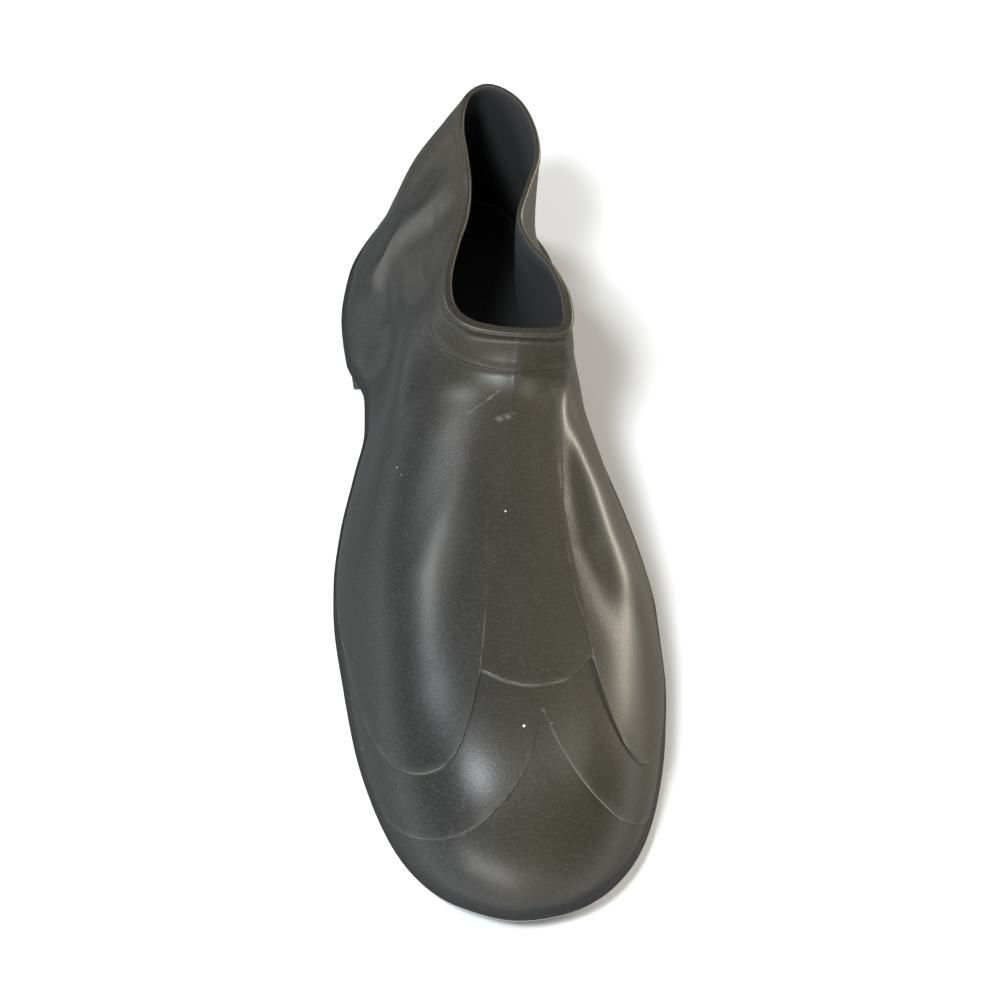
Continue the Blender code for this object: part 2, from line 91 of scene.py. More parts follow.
# Collar, cuff and moulded edges
COLLAR_BACK = 7.7
COLLAR_LENGTH = 112.3
COLLAR_WIDTH = 42.8
COLLAR_MIDDLE = 8.4
CUFF_WIDTH = 15.0
CUFF_STEP = 0.6
BEAD_HEIGHT = 3.2
BEAD = 1.6
CAP_STEP = 0.5
CENTRE_STEP = 0.5
LOBE_STEP = 0.9
PANEL_FADE = 110.0
PANEL_START = 3.5
WALL_BULGE = 8.0
BULGE_HEIGHT = 52.0
CROWN_LEAN = 9.0

# Mesh of the sole and points along each line up the upper
SOLE_COLUMNS = 20
SOLE_STATIONS = 150
SOLE_WALL_LEVELS = (0.2, 0.4, 0.6, 0.8, 0.94)
SOLE_SHARP = 38.0
UNDER_STEP = 0.5
SEAT_STEP = 0.05
RIM_ARC = 6
RIM_START = 0.3
DENSE = 120

# station, medial half width, lateral half width as shares of the ball width
OUTLINE = (
    (0.000, 0.000, 0.000),
    (0.020, 0.191, 0.161),
    (0.060, 0.293, 0.232),
    (0.120, 0.375, 0.293),
    (0.200, 0.411, 0.300),
    (0.255, 0.403, 0.290),
    (0.305, 0.352, 0.310),
    (0.350, 0.358, 0.343),
    (0.405, 0.400, 0.390),
    (0.480, 0.457, 0.450),
    (0.550, 0.488, 0.489),
    (0.605, 0.495, 0.505),
    (0.690, 0.479, 0.505),
    (0.772, 0.455, 0.482),
    (0.855, 0.405, 0.432),
    (0.917, 0.340, 0.366),
    (0.964, 0.242, 0.269),
    (0.990, 0.119, 0.157),
    (1.000, 0.000, 0.000),
)

# station, heel lift of the plate, toe spring, and thickness: 0 for waist, 1 for full
SOLE = (
    (0.000, 1.000, 0.00, 0.00),
    (0.153, 0.948, 0.00, 0.00),
    (0.255, 0.903, 0.00, 0.00),
    (0.318, 0.755, 0.00, 0.00),
    (0.378, 0.535, 0.00, 0.00),
    (0.438, 0.277, 0.00, 0.13),
    (0.496, 0.065, 0.00, 0.87),
    (0.541, 0.000, 0.00, 1.00),
    (0.773, 0.000, 0.00, 1.00),
    (0.884, 0.000, 0.23, 0.87),
    (1.000, 0.000, 1.00, -0.60),
)

# station, climb of the crown from toe height to instep height, its lean to the lateral side,
# and the roundness across and upwards
SECTIONS = (
    (0.247, 1.58, 1.00, 1.7, 1.9),
    (0.381, 1.00, 1.00, 1.7, 1.9),
    (0.471, 0.74, 0.78, 1.9, 1.9),
    (0.597, 0.40, 0.44, 2.3, 2.0),
    (0.725, 0.14, 0.22, 2.6, 2.1),
    (0.813, 0.00, 0.00, 2.7, 2.1),
    (0.917, -0.10, 0.00, 2.6, 2.1),
    (1.000, -0.25, 0.00, 2.5, 2.1),
)
TOE_START = 0.782
TOE_ROUND = 2.4

# collar edge: offset over the collar width, way from its back over its length, 0 for the front
# height to 1 for the back height
COLLAR = (
    (0.000, 0.000, 1.00),
    (-0.150, 0.025, 0.98),
    (-0.230, 0.080, 0.93),
    (-0.272, 0.178, 0.84),
    (-0.255, 0.290, 0.74),
    (-0.250, 0.420, 0.61),
    (-0.302, 0.542, 0.49),
    (-0.400, 0.645, 0.39),
    (-0.490, 0.760, 0.27),
    (-0.508, 0.850, 0.15),
    (-0.460, 0.915, 0.08),
    (-0.325, 0.959, 0.03),
    (-0.100, 0.983, 0.00),
    (0.150, 0.995, 0.00),
    (0.380, 1.000, 0.00),
    (0.455, 0.985, 0.01),
    (0.490, 0.930, 0.04),
    (0.475, 0.840, 0.14),
    (0.405, 0.752, 0.25),
    (0.262, 0.667, 0.34),
    (0.190, 0.590, 0.43),
    (0.195, 0.530, 0.49),
    (0.300, 0.419, 0.61),
    (0.400, 0.310, 0.71),
    (0.395, 0.200, 0.82),
    (0.313, 0.096, 0.92),
    (0.175, 0.030, 0.98),
)

# side, station where a line leaves the sole, share round the collar where it ends
FAN = (
    (-1, 0.057, 0.055),
    (-1, 0.153, 0.155),
    (-1, 0.248, 0.255),
    (-1, 0.344, 0.345),
    (-1, 0.486, 0.405),
    (-1, 0.757, 0.455),
    (1, 0.757, 0.545),
    (1, 0.486, 0.600),
    (1, 0.344, 0.655),
    (1, 0.248, 0.740),
    (1, 0.153, 0.835),
    (1, 0.057, 0.935),
)

# side, station, lean of the quarter wall, share of the wall bulge
WALLS = (
    (0, 0.000, 0.60, 0.30),
    (-1, 0.025, 0.55, 0.35),
    (-1, 0.096, 0.60, 0.38),
    (-1, 0.159, 0.80, 0.69),
    (-1, 0.232, 0.90, 1.00),
    (-1, 0.359, 0.90, 0.38),
    (-1, 0.486, 0.60, 0.25),
    (-1, 0.693, 0.50, 0.19),
    (-1, 0.884, 0.50, 0.06),
    (1, 0.884, 0.50, 0.06),
    (1, 0.693, 0.30, 0.19),
    (1, 0.486, -0.40, 0.60),
    (1, 0.359, -1.90, 0.55),
    (1, 0.273, -1.90, 0.30),
    (1, 0.216, -2.00, 0.10),
    (1, 0.153, -2.60, 0.06),
    (1, 0.096, -3.40, 0.00),
    (1, 0.025, -1.00, 0.06),
)
VAMP_FROM = 0.263
VAMP_TO = 0.502
VAMP_PACE = 2.2
NEAR = 0.004

# share round the foot, toe cap edge as a share of the way up to the collar
CAP_LINE = (
    (0.3987, -0.010),
    (0.4173, 0.034),
    (0.4328, 0.068),
    (0.4525, 0.110),
    (0.4669, 0.144),
    (0.4793, 0.180),
    (0.4917, 0.227),
    (0.5000, 0.272),
    (0.5041, 0.316),
    (0.5083, 0.346),
    (0.5124, 0.319),
    (0.5207, 0.269),
    (0.5382, 0.186),
    (0.5537, 0.123),
    (0.5703, 0.068),
    (0.5827, 0.025),
    (0.5930, -0.010),
)

# the same for the lower edge of the side lobes and of the centre panel between them
LOBE_LINE = (
    (0.2623, 0.000),
    (0.3171, 0.060),
    (0.3553, 0.093),
    (0.3842, 0.118),
    (0.4039, 0.139),
    (0.4246, 0.169),
    (0.4411, 0.202),
    (0.4525, 0.236),
    (0.4587, 0.272),
    (0.4623, 0.322),
    (0.4664, 0.402),
    (0.4835, 0.394),
    (0.5041, 0.386),
    (0.5227, 0.386),
    (0.5496, 0.403),
    (0.5537, 0.345),
    (0.5579, 0.290),
    (0.5672, 0.219),
    (0.5827, 0.152),
    (0.6013, 0.110),
    (0.6168, 0.084),
    (0.6550, 0.040),
    (0.7067, 0.000),
)

# share round the foot, size of the collar bead and of the cuff step
BEAD_SIZE = (
    (0.00, 0.15),
    (0.10, 0.20),
    (0.17, 0.50),
    (0.22, 1.00),
    (0.76, 1.00),
    (0.82, 0.50),
    (0.88, 0.20),
    (1.00, 0.15),
)

# Dense mesh of the upper
FINE_COLUMNS = 520
FINE_GAIN = 4.5
FINE_FROM = 0.400
FINE_TO = 0.610
FINE_BLEND = 0.045
FOOT_ROWS = 12
BELOW_ROWS = 9
ABOVE_ROWS = 56
LINE_ROWS = 7
LINE_BAND = 1.2
BEAD_ARC = 11
CUFF_LEVELS = (0.25, 0.5, 0.75)
CUFF_EDGE_LEVELS = (0.0, 0.35, 0.65, 1.0)
INNER_FINE = 26
LIP_ROWS = 4
LIP_RISE = 0.5
CENTRE_EDGE = 0.0008
EDGE_SHIFT = 0.25
EDGE_GLOW = 0.28
SCUFF_SPOTS = 14
SIDE_FADE = (0.50, 0.98)
CUFF_SHADOW = 0.75
CROWN_ROUND = 0.06
FOLD_FULL = 2.6
FOOT_DARK_ROWS = 1.4
# shares of the length where the painted light on the sole rim fades in
RIM_LIGHT_SPAN = (0.60, 0.78)
RIM_LEVELS = 9
CUFF_REACH = 22.0

# shares round the foot where the raised cap and lobes are full: from, full, full, to
CAP_REACH = (0.300, 0.399, 0.593, 0.690)
LOBE_REACH = (0.120, 0.262, 0.707, 0.850)

# up share, column of the medial edge and of the lateral edge of the centre panel
CENTRE_EDGES = (
    (0.000, 0.4652, 0.5512),
    (0.403, 0.4652, 0.5512),
    (0.453, 0.4650, 0.5500),
    (0.530, 0.4630, 0.5440),
    (0.600, 0.4580, 0.5434),
    (0.672, 0.4520, 0.5465),
    (0.720, 0.4480, 0.5560),
    (0.800, 0.4420, 0.5700),
)

# crease, x over the ball width, station over the length, height over the collar height, width and
# lift in millimetres
CREASES = (
    (1, 0.232, 0.398, 0.768, 4.0, 0.8),
    (1, 0.216, 0.437, 0.702, 4.0, 1.2),
    (1, 0.199, 0.475, 0.708, 4.5, 0.9),
    (1, 0.193, 0.522, 0.696, 5.0, 0.1),
    (2, 0.205, 0.440, 0.705, 5.0, 0.5),
    (2, 0.292, 0.538, 0.611, 8.0, 1.9),
    (2, 0.318, 0.598, 0.580, 9.5, 2.1),
    (2, 0.378, 0.638, 0.502, 11.0, 1.7),
    (2, 0.427, 0.653, 0.408, 12.0, 0.5),
    (3, 0.225, 0.500, 0.670, 4.0, -0.6),
    (3, 0.240, 0.560, 0.653, 5.5, -1.4),
    (3, 0.260, 0.617, 0.624, 7.0, -1.6),
    (3, 0.303, 0.679, 0.575, 8.0, -1.0),
    (3, 0.342, 0.725, 0.524, 9.0, -0.2),
    (4, -0.070, 0.514, 0.722, 6.0, 0.4),
    (4, -0.149, 0.586, 0.667, 9.0, 1.3),
    (4, -0.219, 0.649, 0.615, 10.0, 1.6),
    (4, -0.245, 0.728, 0.578, 10.0, 0.6),
    (5, -0.069, 0.112, 0.943, 5.0, -0.6),
    (5, -0.174, 0.138, 0.782, 8.0, -3.2),
    (5, -0.275, 0.141, 0.511, 9.0, -3.4),
    (5, -0.330, 0.150, 0.380, 9.0, -1.2),
    (6, -0.049, 0.162, 0.950, 5.0, 0.6),
    (6, -0.146, 0.185, 0.815, 8.0, 2.6),
    (6, -0.284, 0.184, 0.487, 9.0, 2.6),
    (7, -0.120, 0.250, 0.880, 6.0, -0.6),
    (7, -0.165, 0.299, 0.801, 9.0, -1.6),
    (7, -0.246, 0.275, 0.641, 11.0, -1.6),
    (7, -0.352, 0.225, 0.341, 10.0, -0.4),
    (8, -0.130, 0.062, 0.800, 6.0, 0.6),
    (8, -0.200, 0.080, 0.500, 8.0, 1.0),
)

# white marks: x over the ball width, station over the length, height over the collar height,
# radius in millimetres, strength
SPECKS = (
    (-0.439, 0.782, 0.137, 0.9, 1.0),
    (-0.415, 0.828, 0.109, 0.8, 0.9),
    (-0.311, 0.783, 0.500, 0.5, 0.8),
    (0.013, 0.837, 0.585, 0.6, 1.0),
    (-0.122, 0.896, 0.508, 0.5, 0.9),
    (-0.294, 0.899, 0.356, 0.4, 0.7),
    (0.095, 0.835, 0.581, 0.4, 0.5),
    (0.014, 0.581, 0.699, 0.5, 0.7),
    (-0.295, 0.487, 0.560, 0.4, 0.6),
    (-0.283, 0.501, 0.578, 0.4, 0.5),
)

# scuffs: both ends as x, station and height shares, width in millimetres, strength
SCUFFS = (
    (-0.074, 0.454, 0.741, -0.020, 0.444, 0.768, 0.7, 0.10),
    (-0.020, 0.444, 0.768, 0.066, 0.424, 0.797, 0.8, 0.14),
    (0.015, 0.468, 0.764, 0.064, 0.465, 0.769, 1.8, 0.10),
)

# Floor, light and camera: places in metres, roll in degrees, lens in millimetres
FLOOR_HALF = 6.0
WORLD_GLOW = 0.22
CAMERA_PLACE = (-0.0877, -0.5435, 0.8806)
CAMERA_AIM = (0.0026, 0.0005, 0.035)
CAMERA_ROLL = 5.35
CAMERA_LENS = 98.0


def column(table, index):
    return np.array([row[index] for row in table], float)


def smooth(places, values, at):
    """Monotone cubic through the points of places and values."""
    step = np.diff(places)
    slope = np.diff(values) / step
    before = slope[:-1]
    after = slope[1:]
    same = before * after > 0
    first = 2 * step[1:] + step[:-1]
    second = step[1:] + 2 * step[:-1]
    safe_before = np.where(same, before, 1.0)
    safe_after = np.where(same, after, 1.0)
    rate = np.zeros(len(places))
    rate[1:-1] = np.where(same, (first + second) / (first / safe_before + second / safe_after), 0.0)
    rate[0] = slope[0]
    rate[-1] = slope[-1]
    at = np.clip(np.asarray(at, float), places[0], places[-1])
    piece = np.clip(np.searchsorted(places, at, side="right") - 1, 0, len(places) - 2)
    width = step[piece]
    t = (at - places[piece]) / width
    low = values[piece] * (1 + 2 * t) * (1 - t) ** 2 + rate[piece] * width * t * (1 - t) ** 2
    high = values[piece + 1] * t ** 2 * (3 - 2 * t) + rate[piece + 1] * width * t ** 2 * (t - 1)
    return low + high


def lookup(table, index, at):
    return smooth(column(table, 0), column(table, index), at)


def ease(low, high, value):
    t = np.clip((value - low) / (high - low), 0.0, 1.0)
    return t * t * (3 - 2 * t)


def turn(share):
    """Angle along the foot: 0 at the heel tip, pi at the toe tip."""
    return np.arccos(np.clip(1 - 2 * np.asarray(share, float), -1.0, 1.0))


def half_width(station, side):
    widths = column(OUTLINE, 1 if side < 0 else 2)
    return BALL_WIDTH * smooth(turn(column(OUTLINE, 0)), widths, turn(station / LENGTH))


def plate_under(station):
    """Underside of the sole plate, before the heel block is added."""
    share = station / LENGTH
    lift = HEEL_HEIGHT - WAIST_THICKNESS
    return lift * lookup(SOLE, 1, share) + TOE_SPRING * lookup(SOLE, 2, share)


def sole_top(station):
    full = lookup(SOLE, 3, station / LENGTH)
    thickness = WAIST_THICKNESS + (SOLE_THICKNESS - WAIST_THICKNESS) * full
    return plate_under(station) + thickness


def sole_under(station):
    return np.where(station < HEEL_LENGTH, 0.0, plate_under(station))


def arc_length(points):
    steps = np.linalg.norm(np.diff(points, axis=0), axis=1)
    return np.concatenate([[0.0], np.cumsum(steps)])


def along(points, distances):
    """Points of a polyline at the given distances from its start."""
    length = arc_length(points)
    return np.stack([np.interp(distances, length, axis) for axis in points.T], axis=1)


def foot_loop():
    """Closed edge of the upper in plan: heel tip, medial side, toe tip, lateral side."""
    angle = np.linspace(0.0, math.pi, 3 * DENSE + 1)
    station = LENGTH * (1 - np.cos(angle)) / 2
    medial = np.stack([-half_width(station, -1), station], axis=1)
    lateral = np.stack([half_width(station, 1), station], axis=1)
    loop = np.concatenate([medial, lateral[-2::-1]])
    shrink = np.array([1 - 2 * BASE_INSET / BALL_WIDTH, 1 - 2 * BASE_INSET / LENGTH])
    middle = np.array([0.0, LENGTH / 2])
    return middle + (loop - middle) * shrink


def collar_loop():
    """Closed collar edge as a dense polyline, from the back along the medial side."""
    points = np.stack([
        COLLAR_MIDDLE + COLLAR_WIDTH * column(COLLAR, 0),
        COLLAR_BACK + COLLAR_LENGTH * column(COLLAR, 1),
        COLLAR_FRONT_HEIGHT + (COLLAR_BACK_HEIGHT - COLLAR_FRONT_HEIGHT) * column(COLLAR, 2),
    ], axis=1)
    count = len(points)
    dense = []
    for i in range(count):
        a, b, c, d = (points[(i + k) % count] for k in (-1, 0, 1, 2))
        for t in np.linspace(0.0, 1.0, 12, endpoint=False):
            low = 2 * b + (c - a) * t + (2 * a - 5 * b + 4 * c - d) * t ** 2
            dense.append((low + (3 * b - a - 3 * c + d) * t ** 3) / 2)
    dense.append(points[0])
    return np.array(dense)


def share_of(loop, side, station):
    """Share round the foot loop of a station on one side."""
    length = arc_length(loop)
    tip = int(np.argmax(loop[:, 1]))
    if side < 0:
        place = np.interp(station, loop[:tip + 1, 1], length[:tip + 1])
    else:
        place = np.interp(station, loop[:tip - 1:-1, 1], length[:tip - 1:-1])
    return float(place) / length[-1]


def round_foot(loop, table):
    """Shares round the foot of a table's rows of side and station."""
    return np.array([share_of(loop, row[0], row[1] * LENGTH) if row[0] else 0.0 for row in table])


def vamp_height(x, station):
    """Height of the front of the upper over a place in plan."""
    scale_x = 1 - 2 * BASE_INSET / BALL_WIDTH
    scale_y = 1 - 2 * BASE_INSET / LENGTH
    outer = LENGTH / 2 + (station - LENGTH / 2) / scale_y
    share = outer / LENGTH
    crown = CROWN_LEAN * lookup(SECTIONS, 2, share)
    medial = half_width(outer, -1) * scale_x + crown
    lateral = half_width(outer, 1) * scale_x - crown
    reach = np.maximum(np.where(x < crown, medial, lateral), EDGE_WIDTH)
    across = np.clip(np.abs(x - crown) / reach, 0.0, 1.0)
    line = TOE_HEIGHT + (INSTEP_HEIGHT - TOE_HEIGHT) * lookup(SECTIONS, 1, share)
    toe = np.clip((share - TOE_START) / (1 - TOE_START), 0.0, 1.0)
    end = np.sqrt(1 - toe ** TOE_ROUND)
    base = sole_top(outer) + GAP
    power = lookup(SECTIONS, 3, share)
    soft = (across ** 2 + CROWN_ROUND ** 2) ** (power / 2) - CROWN_ROUND ** power
    full = (1 + CROWN_ROUND ** 2) ** (power / 2) - CROWN_ROUND ** power
    arch = np.clip(1 - soft / full, 0.0, 1.0) ** (1 / lookup(SECTIONS, 4, share))
    return base + (line - base) * end * arch


def wall_lean(rise, lean):
    """Share of the way in from the sole edge to the collar at a share of the height."""
    if lean >= 0:
        return rise ** (1 + lean)
    return 1 - (1 - rise) ** (1 - lean)


def upper_lines():
    """Lines up the outside from the sole edge to the collar: shares, dense paths, plan normals.

    A share runs once round the foot, from the heel along the medial side, with 0.5 at the toe.
    """
    foot = foot_loop()
    foot_total = arc_length(foot)[-1]
    collar = collar_loop()
    collar_total = arc_length(collar)[-1]
    toe = share_of(foot, -1, LENGTH)
    half = len(FAN) // 2
    fan_from = round_foot(foot, FAN)
    fan_to = column(FAN, 2)
    keys = np.concatenate([[0.0], fan_from[:half], [toe], fan_from[half:], [1.0]])
    ends = np.concatenate([[0.0], fan_to[:half], [0.5], fan_to[half:], [1.0]])
    wall_keys = np.append(round_foot(foot, WALLS), 1.0)
    leans = np.append(column(WALLS, 2), WALLS[0][2])
    bulges = np.append(column(WALLS, 3), WALLS[0][3]) * WALL_BULGE

    shares = line_shares()
    lines = []
    outwards = []
    even = np.linspace(0.0, 1.0, DENSE)
    for share in (shares + toe - 0.5) % 1.0:
        near = np.array([share, share + NEAR, share - NEAR]) % 1.0 * foot_total
        start, ahead, behind = along(foot, near)
        tangent = (ahead - behind) / np.linalg.norm(ahead - behind)
        outward = np.array([tangent[1], -tangent[0]])
        end = along(collar, [smooth(keys, ends, share) * collar_total])[0]
        base = sole_top(start[1]) + GAP

        wall = np.empty((DENSE, 3))
        inward = wall_lean(even, smooth(wall_keys, leans, share))
        wall[:, :2] = start + (end[:2] - start) * inward[:, None]
        wall[:, 2] = base + (end[2] - base) * even

        vamp = np.empty((DENSE, 3))
        vamp[:, :2] = start + (end[:2] - start) * (even ** VAMP_PACE)[:, None]
        vamp[:, 2] = vamp_height(vamp[:, 0], vamp[:, 1])
        vamp[0, 2] = base
        left = np.linalg.norm(end[:2] - vamp[:, :2], axis=1)
        vamp[:, 2] += (end[2] - vamp[-1, 2]) * np.clip(1 - left / CUFF_REACH, 0.0, 1.0) ** 2

        wall = along(wall, even * arc_length(wall)[-1])
        vamp = along(vamp, even * arc_length(vamp)[-1])
        line = wall + (vamp - wall) * ease(VAMP_FROM, VAMP_TO, start[1] / LENGTH)
        lift = np.clip((line[:, 2] - base) / BULGE_HEIGHT, 0.0, 1.0)
        bulge = smooth(wall_keys, bulges, share) * np.sin(math.pi * lift) ** 2
        line[:, :2] += outward * bulge[:, None]
        lines.append(line)
        outwards.append([outward[0], outward[1], 0.0])
    return shares, lines, np.array(outwards)


def normals_of(grid, outwards):
    """Outward normals of a grid of rows and closed columns; level at the sole edge."""
    around = np.roll(grid, -1, axis=1) - np.roll(grid, 1, axis=1)
    upward = np.gradient(grid, axis=0)
    cross = np.cross(upward, around)
    cross /= np.linalg.norm(cross, axis=2, keepdims=True)
    cross[0] = outwards
    return cross


def to_world(points):
    """From x, station and height in millimetres to metres, with the toe towards -Y."""
    x = points[..., 0] - MIDDLE_X
    y = LENGTH / 2 - points[..., 1]
    return np.stack([x, y, points[..., 2]], axis=-1) * MM


def add_body(name, vertices, faces, material):
    """A closed mesh object with its faces turned outwards."""
    mesh = bpy.data.meshes.new(name)
    mesh.from_pydata([tuple(map(float, place)) for place in vertices], [], faces)
    work = bmesh.new()
    work.from_mesh(mesh)
    bmesh.ops.recalc_face_normals(work, faces=work.faces)
    if work.calc_volume(signed=True) < 0:
        bmesh.ops.reverse_faces(work, faces=work.faces)
    work.to_mesh(mesh)
    work.free()
    mesh.materials.append(material)
    body = bpy.data.objects.new(name, mesh)
    bpy.context.scene.collection.objects.link(body)
    return body


def ring_faces(rings, count, closed):
    """Quads between neighbouring rings of count points each."""
    faces = []
    for row in range(rings if closed else rings - 1):
        after = (row + 1) % rings
        for i in range(count):
            j = (i + 1) % count
            faces.append((row * count + i, row * count + j, after * count + j, after * count + i))
    return faces


def groove_centres():
    """Tread grooves as station and depth, over the heel and over the forefoot."""
    heel = np.arange(HEEL_FIRST, HEEL_LENGTH - HEEL_PITCH / 2, HEEL_PITCH)
    tread = np.arange(TREAD_FROM * LENGTH, TREAD_TO * LENGTH, TREAD_PITCH)
    return [(place, HEEL_GROOVE_DEPTH) for place in heel] + [(place, GROOVE_DEPTH) for place in tread]


def sole_stations():
    """Even stations, with pairs at every groove side and at the heel breast."""
    half = EDGE_WIDTH / 2
    exact = [HEEL_LENGTH - half, HEEL_LENGTH + half]
    for centre, depth in groove_centres():
        for side in (centre - GROOVE_WIDTH / 2, centre + GROOVE_WIDTH / 2):
            exact += [side - half, side + half]
    angles = np.linspace(0.0, math.pi, SOLE_STATIONS)[1:-1]
    even = LENGTH * (1 - np.cos(angles)) / 2
    kept = [place for place in even if min(abs(place - near) for near in exact) > EDGE_WIDTH]
    return np.array(sorted(kept + exact))


def tread_height(stations):
    height = sole_under(stations)
    for centre, depth in groove_centres():
        height = np.where(np.abs(stations - centre) < GROOVE_WIDTH / 2, height + depth, height)
    return height


def sole_edge(stations):
    """Closed plan line of the sole with outward normals: heel tip, medial, toe tip, lateral."""
    count = len(stations)
    line = np.concatenate([[0.0], stations, [LENGTH], stations[::-1]])
    side = np.concatenate([[0.0], np.full(count, -1.0), [0.0], np.full(count, 1.0)])
    width = np.where(side < 0, half_width(line, -1), half_width(line, 1))
    plan = np.stack([side * width, line], axis=1)
    low = np.clip(line - EDGE_WIDTH, 0.0, LENGTH)
    high = np.clip(line + EDGE_WIDTH, 0.0, LENGTH)
    medial = half_width(high, -1) - half_width(low, -1)
    lateral = half_width(high, 1) - half_width(low, 1)
    widening = np.where(side < 0, medial, lateral)
    normal = np.stack([side * (high - low), -widening], axis=1)
    normal[0] = (0.0, -1.0)
    normal[count + 1] = (0.0, 1.0)
    return line, plan, normal / np.linalg.norm(normal, axis=1, keepdims=True)


def tread_bend(place, width):
    """How far the tread bars curve forwards across the sole."""
    share = place / LENGTH
    reach = TREAD_CURVE * min(1.0, width / BALL_WIDTH)
    front = ease(TREAD_FROM - 2 * BEND_BLEND, TREAD_FROM, share)
    front *= 1 - ease(TREAD_TO - BEND_BLEND, TREAD_TO + BEND_BLEND / 2, share)
    breast = HEEL_LENGTH / LENGTH
    heel = ease(0.0, breast, share) * (1 - ease(breast, breast + BEND_BLEND, share))
    return reach * (front - heel / 2)


def line_shares():
    """Shares round the foot, closest over the toe and the centre panel."""
    even = np.linspace(0.0, 1.0, 10 * FINE_COLUMNS + 1)
    start = ease(FINE_FROM - FINE_BLEND, FINE_FROM + FINE_BLEND, even)
    end = ease(FINE_TO - FINE_BLEND, FINE_TO + FINE_BLEND, even)
    reach = np.append(0.0, np.cumsum(1 + FINE_GAIN * (start - end)[1:]))
    return np.interp(np.arange(FINE_COLUMNS) / FINE_COLUMNS, reach / reach[-1], even)


def centre_share(share, up):
    """1 inside the centre panel and 0 outside, at shares round the foot and up a line."""
    low = lookup(CENTRE_EDGES, 1, up)
    high = lookup(CENTRE_EDGES, 2, up)
    past_low = ease(low - CENTRE_EDGE, low + CENTRE_EDGE, share)
    past_high = ease(high - CENTRE_EDGE, high + CENTRE_EDGE, share)
    return past_low * (1 - past_high)


def panel_reach(reach, share):
    """How much of a raised panel is there at a share round the foot."""
    return ease(reach[0], reach[1], share) * (1 - ease(reach[2], reach[3], share))


def edge_glow(past):
    """Wear and painted highlight at a moulded edge, by the distance past it."""
    return np.exp(-((past - EDGE_SHIFT) / EDGE_GLOW) ** 2)


def panel_relief(share, distances, total):
    """Outward step of the moulded panels, and how near each place is to a moulded edge."""
    cap = lookup(CAP_LINE, 1, share) * total
    lobe = lookup(LOBE_LINE, 1, share) * total
    centre = centre_share(share, distances / total)
    fade = 1 - ease(*SIDE_FADE, distances / total)
    half = EDGE_WIDTH / 2
    over_cap = ease(-half, half, distances - cap)
    over_lobe = ease(-half, half, distances - lobe)
    far_cap = np.exp(-np.maximum(distances - cap, 0.0) / PANEL_FADE) * panel_reach(CAP_REACH, share)
    far_lobe = np.exp(-np.maximum(distances - lobe, 0.0) / PANEL_FADE) * panel_reach(LOBE_REACH, share)
    panel = LOBE_STEP + (CENTRE_STEP - LOBE_STEP) * centre * fade
    step = CAP_STEP * over_cap * far_cap + panel * over_lobe * far_lobe
    near_cap = edge_glow(distances - cap) * ease(0.0, PANEL_START, cap)
    near_lobe = edge_glow(distances - lobe) * ease(0.0, PANEL_START, lobe)
    side = 4 * centre * (1 - centre) * fade * over_lobe * far_lobe
    return step, np.maximum(np.maximum(near_cap, near_lobe), side)


def fine_bead():
    """Distance from the collar edge and outward step of the rows of bead and cuff, bottom first."""
    rows = []
    for k in range(BEAD_ARC + 1):
        angle = math.pi * k / BEAD_ARC
        height = BEAD_HEIGHT * (1 - math.cos(angle)) / 2
        rows.append((height, BEAD * math.sin(angle) + CUFF_STEP * k / BEAD_ARC))
    for share in CUFF_LEVELS:
        rows.append((BEAD_HEIGHT + (CUFF_WIDTH - BEAD_HEIGHT) * share, CUFF_STEP))
    for share in CUFF_EDGE_LEVELS:
        rows.append((CUFF_WIDTH + EDGE_WIDTH * share, CUFF_STEP * (1 - share)))
    return rows[::-1]


def fine_distances(share, total):
    """Distances of the rows of one outer line, closest at the moulded edges."""
    cap = max(lookup(CAP_LINE, 1, share) * total, PANEL_START + EDGE_WIDTH)
    lobe = max(lookup(LOBE_LINE, 1, share) * total, cap + PANEL_START)
    edge = total - fine_bead()[0][0]
    band = np.linspace(-LINE_BAND / 2, LINE_BAND / 2, LINE_ROWS)
    low = np.linspace(0.0, cap + band[0], FOOT_ROWS, endpoint=False)
    between = np.linspace(cap + band[-1], lobe + band[0], BELOW_ROWS + 2)[1:-1]
    above = np.linspace(lobe + band[-1], edge, ABOVE_ROWS + 1)[1:]
    return np.concatenate([low, cap + band, between, lobe + band, above[:-1]])


def crease_lift(points):
    """Outward lift of the soft ridges and troughs at points in millimetres."""
    sizes = np.array([BALL_WIDTH, LENGTH, COLLAR_BACK_HEIGHT])
    lift = np.zeros(len(points))
    for crease in sorted(set(row[0] for row in CREASES)):
        rows = np.array([row[1:] for row in CREASES if row[0] == crease])
        places = rows[:, :3] * sizes
        best = np.full(len(points), 1e9)
        value = np.zeros(len(points))
        for start, end, low, high in zip(places, places[1:], rows, rows[1:]):
            run = end - start
            t = np.clip((points - start) @ run / (run @ run), 0.0, 1.0)
            away = np.linalg.norm(points - start - t[:, None] * run, axis=1)
            width = low[3] + (high[3] - low[3]) * t
            height = low[4] + (high[4] - low[4]) * t
            share = away / width
            closer = share < best
            best = np.where(closer, share, best)
            value = np.where(closer, height * np.exp(-share ** 2), value)
        lift += value
    return lift


def add_value(mesh, name, values):
    layer = mesh.attributes.new(name, "FLOAT", "POINT")
    layer.data.foreach_set("value", np.asarray(values, np.float32).reshape(-1))


def on_skin(values, whole):
    """Values on the outer rows of the grid and 0 on the lip and the lining."""
    full = np.zeros(whole.shape)
    full[:len(values)] = values
    return full


